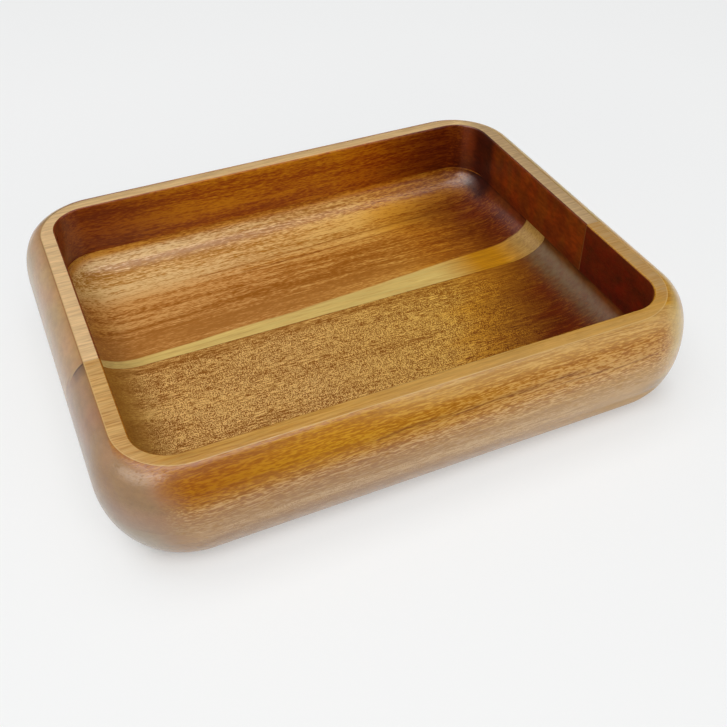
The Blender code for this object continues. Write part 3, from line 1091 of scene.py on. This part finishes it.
def finish_wood(wood, shader):
    """The oil on the wood: a soft sheen, duller over open pores, dry end grain and soaked floor."""
    rough = wood.total(
        ROUGHNESS,
        wood.product(wood.fibres, ROUGHNESS_OF_FIBRES),
        wood.product(wood.deep, ROUGHNESS_OF_PORES),
        wood.product(wood.dry, ROUGHNESS_OF_DRY_ENDS),
    )
    wood.feed(shader.inputs["Roughness"], rough)
    soaked = wood.product(wood.ramp(wood.x, *SOAKED_FLOOR_ALONG), wood.span(wood.z, *SOAKED_FLOOR_UP))
    coat = wood.product(wood.ramp(wood.pores, *COAT_OVER_PORES), wood.less(1.0, soaked))
    if wood.board == "upper_front_board":
        coat = wood.product(coat, wood.less(1.0, dull_amber(wood)))
    far_dry = wood.product(wood.dry, wood.span(wood.x, *DRY_COAT_ALONG))
    coat = wood.product(coat, wood.ramp(far_dry, *COAT_OVER_DRY_ENDS))
    wood.feed(shader.inputs["Coat Weight"], coat)
    shader.inputs["Coat Roughness"].default_value = COAT_ROUGHNESS
    shader.inputs["Coat IOR"].default_value = COAT_IOR
    shader.inputs["Specular IOR Level"].default_value = SHEEN_LEVEL
    height = wood.less(wood.total(wood.fibres, wood.tone), wood.deep)
    inputs = {"Height": height, "Distance": GRAIN_DEPTH, "Strength": GRAIN_STRENGTH}
    bump = wood.node("ShaderNodeBump", inputs).outputs[0]
    wood.feed(shader.inputs["Normal"], bump)
    wood.feed(shader.inputs["Coat Normal"], bump)


def make_wood(board):
    """Oiled wood, solid all through, with its grain along the dish."""
    wood = Wood(board)
    look = wood.look
    if board == "lower_front_board":
        wood.tone = woven_tone(wood)
    colour = wood.mix(wood.ramp(wood.tone, *DARK_TO_MIDDLE), look["dark"], look["middle"])
    colour = wood.mix(wood.ramp(wood.tone, *MIDDLE_TO_PALE), colour, look["pale"])
    colour = wood.mix(wood.deep, colour, look["dark"])
    for layer in LAYERS[board]:
        colour = layer(wood, colour)
    shader = wood.nodes["Principled BSDF"]
    wood.feed(shader.inputs["Base Color"], colour)
    finish_wood(wood, shader)
    return wood.material


def make_dish():
    """The four boards, each fitted in the place of its CAD node."""
    ring = upper_ring()
    slab = lower_slab()
    boards = (
        (ring, "upper_front_plank", UPPER_JOINT_Y, True, "upper_front_board"),
        (ring, "upper_back_plank", UPPER_JOINT_Y, False, "upper_back_board"),
        (slab, "lower_front_plank", LOWER_JOINT_Y, True, "lower_front_board"),
        (slab, "lower_back_plank", LOWER_JOINT_Y, False, "lower_back_board"),
    )
    for layer, name, joint_y, keep_front, node in boards:
        piece = split_board(layer, name, joint_y, keep_front, make_wood(node), node)
    ring.free()
    slab.free()


# Camera, solved from the rim's opening and the outline in the photograph
PHOTO_WIDTH = 727
CAMERA_FOCUS = 957.5
CAMERA_PLACE = Vector((-0.1288, -0.3185, 0.2917))
CAMERA_HEADING = math.radians(66.40)
CAMERA_DIP = math.radians(41.61)
CAMERA_ROLL = math.radians(0.54)
CAMERA_NEAREST = 0.01
SENSOR_WIDTH = 36


def make_camera():
    """The camera at the photograph's place, turned to its heading and dip."""
    forward = Vector((
        math.cos(CAMERA_HEADING) * math.cos(CAMERA_DIP),
        math.sin(CAMERA_HEADING) * math.cos(CAMERA_DIP),
        -math.sin(CAMERA_DIP),
    ))
    level_right = Vector((math.sin(CAMERA_HEADING), -math.cos(CAMERA_HEADING), 0))
    level_down = forward.cross(level_right)
    right = math.cos(CAMERA_ROLL) * level_right + math.sin(CAMERA_ROLL) * level_down
    up = -forward.cross(right)
    data = bpy.data.cameras.new("photo_camera")
    data.sensor_width = SENSOR_WIDTH
    data.lens = data.sensor_width * CAMERA_FOCUS / PHOTO_WIDTH
    data.clip_start = CAMERA_NEAREST
    camera = bpy.data.objects.new("photo_camera", data)
    axes = Matrix((right, up, -forward)).transposed()
    camera.matrix_world = Matrix.Translation(CAMERA_PLACE) @ axes.to_4x4()
    bpy.context.scene.collection.objects.link(camera)
    bpy.context.scene.camera = camera


FLOOR_SIZE = 6
FLOOR_COLOUR = paint(0.87, 0.86, 0.835)
FLOOR_ROUGHNESS = 0.9
FLOOR_GLOW = paint(0.92, 0.92, 0.915)
GLOW_NEAR_REACH = 0.018
GLOW_NEAR_SHARES = (0.18, 0.62)
GLOW_FAR_REACH = 0.25
GLOW_FAR_EXTRA_SHARE = 0.14
BASE_CORNER = (
    DISH_LENGTH / 2 - SIDE_SWELL - BASE_INSET,
    DISH_WIDTH / 2 - SIDE_SWELL - BASE_INSET,
    1.0,
)


def matt(material, colour, roughness):
    """Gives a material a plain colour without sheen, and returns its nodes."""
    graph = Graph(material)
    shader = graph.nodes["Principled BSDF"]
    shader.inputs["Base Color"].default_value = colour
    shader.inputs["Roughness"].default_value = roughness
    shader.inputs["Specular IOR Level"].default_value = 0.0
    return graph, shader


def seen_share(graph):
    """One for rays that show a surface or its reflection, zero for those that light others."""
    path = graph.node("ShaderNodeLightPath", {}).outputs
    return graph.most(path["Is Camera Ray"], path["Is Glossy Ray"])


def make_floor():
    """A plain white floor: it keeps a faint shadow, as in the photograph."""
    bpy.ops.mesh.primitive_plane_add(size=FLOOR_SIZE, location=(0, 0, 0))
    floor = bpy.context.object
    floor.name = "floor"
    material = bpy.data.materials.new("floor_white")
    graph, shader = matt(material, FLOOR_COLOUR, FLOOR_ROUGHNESS)
    glow = graph.node("ShaderNodeEmission", {"Color": FLOOR_GLOW, "Strength": 1.0})
    # The glow grows with the distance from the base, so the shadow stays by the dish
    spot = graph.node("ShaderNodeTexCoord", {}).outputs["Object"]
    away = graph.vector("SUBTRACT", graph.vector("ABSOLUTE", spot, (0, 0, 0)), BASE_CORNER)
    away = graph.vector("MAXIMUM", away, (0, 0, 0))
    distance = graph.node("ShaderNodeVectorMath", {0: away}, operation="LENGTH").outputs["Value"]
    near = graph.ramp(distance, 0.0, GLOW_NEAR_REACH, *GLOW_NEAR_SHARES)
    further = graph.span(distance, GLOW_NEAR_REACH, GLOW_FAR_REACH, 0.0, GLOW_FAR_EXTRA_SHARE)
    share = graph.product(seen_share(graph), graph.total(near, further))
    both = graph.node("ShaderNodeMixShader", {0: share, 1: shader.outputs[0], 2: glow.outputs[0]})
    graph.feed(graph.nodes["Material Output"].inputs["Surface"], both.outputs[0])
    floor.data.materials.append(material)


ROOM_WHITE = paint(0.92, 0.92, 0.92)
ROOM_LEFT = (-0.80, 0.05, 1.25, 0.04)
ROOM_RIGHT = (0.2, 0.6)
ROOM_RIGHT_FRONT = (-0.3, 0.3, 0.8, 0.0)
WINDOW = Vector((-0.82, -0.20, 0.53)).normalized()
WINDOW_GLOW = (0.88, 0.98, 0.0, 2.6)
AMBIENT = 0.20
AMBIENT_COLOUR = paint(0.66, 0.86, 1.12)


def make_world():
    """A plain room: white where it is seen, dim as a light, and brighter to the left in reflections."""
    world = bpy.data.worlds.new("studio")
    bpy.context.scene.world = world
    graph = Graph(world)
    direction = graph.node("ShaderNodeTexCoord", {}).outputs["Generated"]
    towards = graph.node("ShaderNodeSeparateXYZ", {0: direction}).outputs
    left = graph.span(towards["X"], *ROOM_LEFT)
    right = graph.product(graph.span(towards["X"], *ROOM_RIGHT), graph.span(towards["Y"], *ROOM_RIGHT_FRONT))
    inputs = {0: direction, 1: WINDOW}
    near_window = graph.node("ShaderNodeVectorMath", inputs, operation="DOT_PRODUCT").outputs["Value"]
    mirrored = graph.total(graph.most(left, right), graph.span(near_window, *WINDOW_GLOW))
    path = graph.node("ShaderNodeLightPath", {}).outputs
    shown = graph.most(path["Is Camera Ray"], graph.product(path["Is Glossy Ray"], mirrored))
    seen = seen_share(graph)
    unseen = graph.product(graph.less(1.0, seen), AMBIENT)
    background = graph.nodes["Background"]
    graph.feed(background.inputs["Color"], graph.mix(seen, AMBIENT_COLOUR, ROOM_WHITE))
    graph.feed(background.inputs["Strength"], graph.total(shown, unseen))


FLAG_PLACE = (-0.10, -0.31, 0.43)
FLAG_SIZE = (0.46, 0.86, 0)
FLAG_TILT = math.radians(90)
FLAG_COLOUR = paint(0.02, 0.02, 0.02)


def make_flag():
    """A dark card in front, seen by reflections alone, where the photographer stood."""
    bpy.ops.mesh.primitive_plane_add(size=1, location=FLAG_PLACE)
    flag = bpy.context.object
    flag.name = "dark_flag"
    flag.dimensions = FLAG_SIZE
    flag.rotation_euler = (FLAG_TILT, 0, 0)
    material = bpy.data.materials.new("flag_black")
    matt(material, FLAG_COLOUR, 1.0)
    flag.data.materials.append(material)
    flag.visible_camera = False
    flag.visible_diffuse = False
    flag.visible_shadow = False
    flag.visible_transmission = False


# Each lamp's name, place, aim, size, power and colour, and whether reflections show it
WHITE_LIGHT = (1, 1, 1)
WARM_LIGHT = (1.015, 1.0, 0.98)
LAMPS = (
    ("overhead_softbox", (-0.265, 0.15, 1.05), (-0.265, 0.15, 0), (0.93, 0.46), 3.8, WHITE_LIGHT, True),
    ("overhead_side", (0.40, 0.15, 1.05), (0.40, 0.15, 0), (0.40, 0.46), 0.80, WHITE_LIGHT, True),
    ("corner_window", (-0.68, -0.44, 1.08), (-0.1, -0.1, 0), (0.50, 0.50), 2.1, WHITE_LIGHT, True),
    ("key", (-0.25, -0.70, 1.15), (0, 0, 0), (1.2, 0.8), 8.7, WARM_LIGHT, False),
    ("front_fill", (0.15, -1.3, 0.55), (0, 0, 0), (1.4, 0.7), 4.5, WHITE_LIGHT, False),
)


def area_light(name, place, aim, size, power, colour, mirrored):
    """A soft rectangular lamp aimed at a point."""
    data = bpy.data.lights.new(name, "AREA")
    data.shape = "RECTANGLE"
    data.size, data.size_y = size
    data.energy = power
    data.color = colour
    lamp = bpy.data.objects.new(name, data)
    lamp.location = place
    lamp.rotation_euler = (Vector(aim) - Vector(place)).to_track_quat("-Z", "Y").to_euler()
    lamp.visible_glossy = mirrored
    bpy.context.scene.collection.objects.link(lamp)


def make_light():
    """Soft lamps above, at the left corner and in front, and the dark card."""
    for lamp in LAMPS:
        area_light(*lamp)
    make_flag()


make_dish()
make_camera()
make_floor()
make_world()
make_light()
bpy.context.scene.view_settings.view_transform = "Standard"
